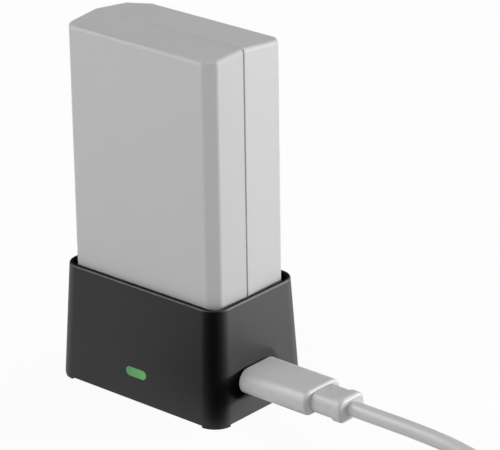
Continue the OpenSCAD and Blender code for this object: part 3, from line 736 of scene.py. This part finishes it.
studio = {"floorSize": 6000, "floorColour": 0.86, "floorGlow": 0.94, "skyLight": 0.39}
lamps = {
    "right": {"azimuth": 128, "elevation": 6, "distance": 900, "size": (520, 170), "power": 5.05},
    "left": {"azimuth": -15, "elevation": 25, "distance": 900, "size": (700, 500), "power": 3.4,
             "glossy": False},
    "top": {"azimuth": 160, "elevation": 55, "distance": 1100, "size": (600, 600), "power": 3},
    "right_gleam": {"azimuth": 139, "elevation": 2.5, "distance": 900, "size": (420, 70),
                    "power": 8.3, "diffuse": False},
    "left_gleam": {"azimuth": -52, "elevation": 22, "distance": 900, "size": (400, 50),
                   "power": 3.5, "diffuse": False},
    "front_rim": {"azimuth": -57, "elevation": 44, "distance": 900, "size": (300, 120),
                  "power": 4, "diffuse": False},
    "side_rim": {"azimuth": 151, "elevation": 37, "distance": 900, "size": (300, 120),
                 "power": 3.2, "diffuse": False},
}
flags = {  # black cards that only reflections see: (distance, height) from and to, over a turn of azimuth
    "front_table": {"from": (30, 0.3), "to": (500, 0.3), "azimuth": (-12, 88)},
    "front_wall": {"from": (500, 0.3), "to": (500, 800), "azimuth": (-25, 106)},
    "rear_wall": {"from": (600, 0.3), "to": (600, 700), "azimuth": (185, 265)},
}


def seenDirectly(made):  # camera, mirror and glass rays
    rays = [made.add("ShaderNodeLightPath", output=name) for name in
            ("Is Camera Ray", "Is Glossy Ray", "Is Transmission Ray")]
    return rays[0] + rays[1] + rays[2]


def makeFloor(look):
    bm = bmesh.new()
    bmesh.ops.create_grid(bm, x_segments=1, y_segments=1, size=look["floorSize"] / 2)
    mesh = toMesh(bm, "floor")
    made = Finish(bpy.data.materials.new("paper"))
    tone = look["floorColour"]
    paper = made.blend(made.noise(1.2, 3), (tone,) * 3, (tone + 0.02,) * 3)
    lit = made.add("ShaderNodeBsdfDiffuse", {}, {"Color": paper})
    glow = made.add("ShaderNodeEmission", {}, {"Color": (1, 1, 1, 1), "Strength": 1.0})
    share = look["floorGlow"] * seenDirectly(made)
    mixed = made.add("ShaderNodeMixShader", {}, {0: share, 1: lit, 2: glow})
    mesh.materials.append(made.finish(mixed))
    floor = bpy.data.objects.new("floor", mesh)
    scene.collection.objects.link(floor)


def makeSky(look):
    scene.world = bpy.data.worlds.new("studio")
    made = Finish(scene.world)
    plain = made.add("ShaderNodeBackground", {}, {"Color": (1, 1, 1, 1), "Strength": look["skyLight"]})
    white = made.add("ShaderNodeBackground", {}, {"Color": (1, 1, 1, 1), "Strength": 1.0})
    mixed = made.add("ShaderNodeMixShader", {}, {0: seenDirectly(made), 1: plain, 2: white})
    made.add("ShaderNodeOutputWorld", {}, {"Surface": mixed})


def makeLamp(name, look):
    turn, rise = radians(look["azimuth"]), radians(look["elevation"])
    away = Vector((sin(turn) * cos(rise), -cos(turn) * cos(rise), sin(rise)))
    data = bpy.data.lights.new(name, "AREA")
    data.shape = "RECTANGLE"
    data.size, data.size_y = (side * mm for side in look["size"])
    data.energy = look["power"]
    lampObject = bpy.data.objects.new(name, data)
    lampObject.visible_diffuse = look.get("diffuse", True)  # a gleam shows only in reflections
    lampObject.visible_glossy = look.get("glossy", True)
    lampObject.location = (Vector((0, 0, 40)) + away * look["distance"]) * mm
    lampObject.rotation_mode = "QUATERNION"
    lampObject.rotation_quaternion = (-away).to_track_quat("-Z", "Y")
    scene.collection.objects.link(lampObject)


def hangCard(bm, name, clearInside):  # black paper that only reflections see
    mesh = toMesh(bm, name)
    made = Finish(bpy.data.materials.new(name))
    surface = made.add("ShaderNodeBsdfDiffuse", {}, {"Color": (0.001, 0.001, 0.001, 1)})
    if clearInside:
        inside = made.add("ShaderNodeNewGeometry", output=6)
        clear = made.add("ShaderNodeBsdfTransparent")
        surface = made.add("ShaderNodeMixShader", {}, {0: inside, 1: surface, 2: clear})
    mesh.materials.append(made.finish(surface))
    card = bpy.data.objects.new(name, mesh)
    card.visible_camera = card.visible_diffuse = card.visible_shadow = False
    scene.collection.objects.link(card)


def makePaintedPlugReflection(look, room=1.8):  # keeps the pale plug out of the housing's reflections: a black sheet round the plug that paints a dark reflection on the housing beside the plug
    bm = bmesh.new()
    makeGrip(bm, look, start=0.05, room=room, frontEdge=0.05)
    layAlongX(bm, (look["start"], look["y"], look["z"]))
    bmesh.ops.recalc_face_normals(bm, faces=bm.faces)
    hangCard(bm, "plug_painted_reflection_card", clearInside=True)


def makeFlag(name, look):
    bm = bmesh.new()
    begin, end = (radians(azimuth) for azimuth in look["azimuth"])
    ends = [bm.verts.new((sin(begin) * far, -cos(begin) * far, high))
            for far, high in (look["from"], look["to"])]
    bmesh.ops.spin(bm, geom=[*ends, bm.edges.new(ends)], cent=(0, 0, 0), axis=(0, 0, 1),
                   angle=end - begin, steps=16)
    hangCard(bm, name, clearInside=False)


makeFloor(studio)
makeSky(studio)
# painted reflection: a black card round the plug darkens the housing's side around the port in reflections
# only
makePaintedPlugReflection(plug)
for name, look in flags.items():
    makeFlag(name, look)
for name, look in lamps.items():
    makeLamp(name, look)
scene.view_settings.view_transform = "Standard"
print("studio lit")
